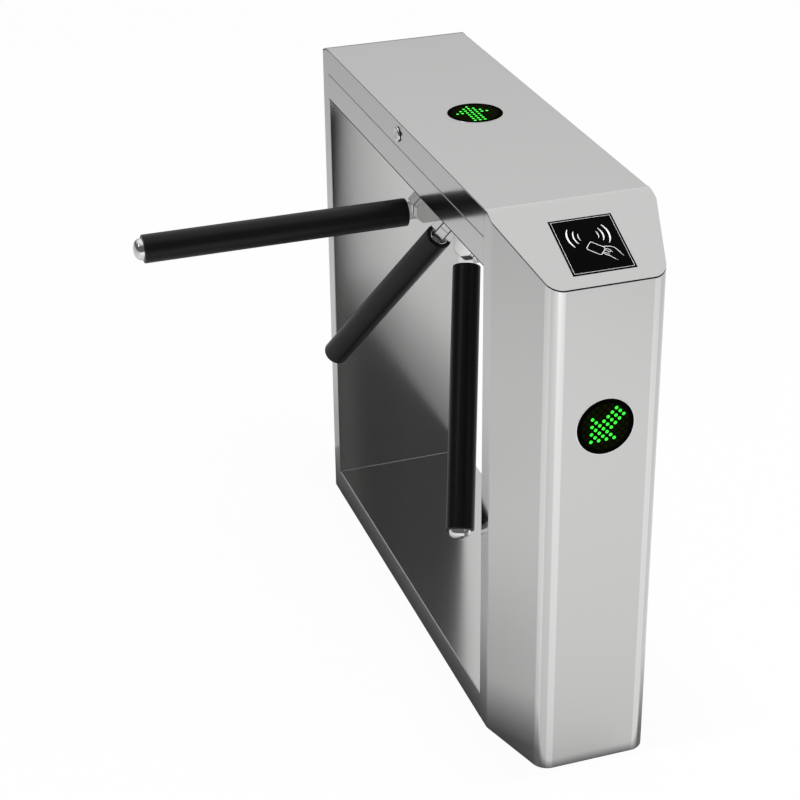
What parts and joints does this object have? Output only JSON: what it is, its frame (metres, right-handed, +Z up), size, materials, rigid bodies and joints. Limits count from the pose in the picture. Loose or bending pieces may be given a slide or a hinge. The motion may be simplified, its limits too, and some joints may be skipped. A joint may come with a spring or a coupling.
{
  "type": "tripod turnstile",
  "caption": "Floor-standing tripod turnstile: stainless bridge cabinet with a hinged lid, card reader panels and arrow lamps, and a tilted hub with padded arms, the top one dropping.",
  "frame": {"origin": "middle of the cabinet on the floor, which is the centre of the four anchor holes", "axes": "+X along the cabinet towards one end, -Y towards the side where the arms stand out, +Z up"},
  "size_m": [1.2016, 0.7667, 0.9808],
  "materials": {
    "steel_sheet": "satin brushed stainless sheet",
    "hinge_steel": "plain stainless hinge leaves",
    "hub_metal": "fine satin, light",
    "arm_black": "satin black sleeve",
    "polished_steel": "polished",
    "tube_steel": "drawn steel tube",
    "lens_black": "glossy dark lens",
    "window_black": "glossy black panel",
    "print_white": "white print",
    "lamp_green": "lit green lamp dots",
    "dark_plastic": "moulded dark plastic",
    "machine_steel": "turned and ground steel",
    "plate_grey": "zinc grey plate",
    "hardened_yellow": "yellow passivated steel",
    "coil_dark": "dark coil housing",
    "spring_steel": "spring wire",
    "board_green": "circuit board",
    "supply_case": "pressed metal case"
  },
  "bodies": {
    "cabinet": {"near_column_shell": "steel_sheet", "far_column_shell": "steel_sheet", "inner_walls": "steel_sheet", "plinth_panel": "steel_sheet", "top_rails": "steel_sheet", "ceiling_panel": "steel_sheet", "mechanism_cover": "steel_sheet", "anchor_plates": "plate_grey", "fixed_hinge_leaves": "hinge_steel", "end_indicator_lenses": "lens_black", "end_indicator_dots": "lamp_green", "end_indicator_cups": "dark_plastic", "mechanism_plate": "plate_grey", "mechanism_gussets": "plate_grey", "bearing_housing": "plate_grey", "bearing_outer_rings": "machine_steel", "pillars": "machine_steel", "rear_plate": "plate_grey", "solenoids": "coil_dark", "index_spring": "spring_steel", "damper_body": "dark_plastic", "control_board": "board_green", "power_supply": "supply_case", "cable_gland": "dark_plastic", "mechanism_bolts": "machine_steel"},
    "lid": {"lid": "steel_sheet", "moving_hinge_leaves": "hinge_steel", "top_indicator_lens": "lens_black", "top_indicator_dots": "lamp_green", "top_indicator_cup": "dark_plastic", "reader_windows": "window_black", "reader_symbols": "print_white", "reader_modules": "dark_plastic", "lock_body": "polished_steel"},
    "lock_plug": {"lock_plug": "polished_steel", "lock_cam": "machine_steel"},
    "rotor": {"hub": "hub_metal", "rotor_shaft": "machine_steel", "bearing_inner_rings": "machine_steel", "bearing_balls": "machine_steel", "index_wheel": "machine_steel", "lock_disc": "hardened_yellow", "shaft_gear": "machine_steel", "shaft_nut": "machine_steel", "arm_pins": "machine_steel", "lower_arm_knuckles": "hub_metal", "lower_arm_tubes": "tube_steel", "lower_arm_caps": "polished_steel", "lower_arm_sleeves": "arm_black"},
    "top_arm": {"top_arm_knuckle": "hub_metal", "top_arm_tube": "tube_steel", "top_arm_sleeve": "arm_black", "top_arm_cap": "polished_steel"},
    "index_lever": {"index_lever": "plate_grey"},
    "index_roller": {"index_roller": "machine_steel"},
    "left_pawl": {"left_pawl": "hardened_yellow"},
    "right_pawl": {"right_pawl": "hardened_yellow"},
    "left_plunger": {"left_plunger": "machine_steel"},
    "right_plunger": {"right_plunger": "machine_steel"},
    "damper_pinion": {"damper_pinion": "hardened_yellow"}
  },
  "joints": [
    {"name": "rotor_turn", "type": "hinge", "parent": "cabinet", "child": "rotor", "pos_m": [0, -0.009, 0.808], "axis": [0, 0.7071, 0.7071], "continuous": true},
    {"name": "top_arm_drop", "type": "hinge", "parent": "rotor", "child": "top_arm", "pos_m": [0, -0.107, 0.81], "axis": [1, 0, 0], "range_deg": [0, 90]},
    {"name": "lid_hinge", "type": "hinge", "parent": "cabinet", "child": "lid", "pos_m": [0, 0.1435, 0.932], "axis": [-1, 0, 0], "range_deg": [0, 75]},
    {"name": "lock_turn", "type": "hinge", "parent": "lid", "child": "lock_plug", "pos_m": [0, -0.14, 0.956], "axis": [0, -1, 0], "range_deg": [0, 90]},
    {"name": "index_lever_swing", "type": "hinge", "parent": "cabinet", "child": "index_lever", "pos_m": [-0.08, 0.03166, 0.9222], "axis": [0, -0.7071, -0.7071], "range_deg": [0, 8], "deforming": ["index_spring"]},
    {"name": "index_roller_spin", "type": "hinge", "parent": "index_lever", "child": "index_roller", "pos_m": [-0.02, 0.02851, 0.93595], "axis": [0, 0.7071, 0.7071], "continuous": true},
    {"name": "left_pawl_swing", "type": "hinge", "parent": "cabinet", "child": "left_pawl", "pos_m": [-0.08, 0.11262, 0.87023], "axis": [0, -0.7071, -0.7071], "range_deg": [0, 12]},
    {"name": "right_pawl_swing", "type": "hinge", "parent": "cabinet", "child": "right_pawl", "pos_m": [0.08, 0.11262, 0.87023], "axis": [0, 0.7071, 0.7071], "range_deg": [0, 12]},
    {"name": "left_plunger_slide", "type": "slide", "parent": "cabinet", "child": "left_plunger", "axis": [0, 0.7071, -0.7071], "range_m": [0, 0.0032]},
    {"name": "right_plunger_slide", "type": "slide", "parent": "cabinet", "child": "right_plunger", "axis": [0, 0.7071, -0.7071], "range_m": [0, 0.0032]},
    {"name": "damper_pinion_spin", "type": "hinge", "parent": "cabinet", "child": "damper_pinion", "pos_m": [0, 0.00938, 0.93386], "axis": [0, 0.7071, 0.7071], "continuous": true}
  ],
  "couplings": [
    {"joint": "damper_pinion_spin", "follows": "rotor_turn", "ratio": -3.75},
    {"joint": "left_pawl_swing", "follows": "left_plunger_slide", "rad_per_m": 65},
    {"joint": "right_pawl_swing", "follows": "right_plunger_slide", "rad_per_m": 65}
  ]
}
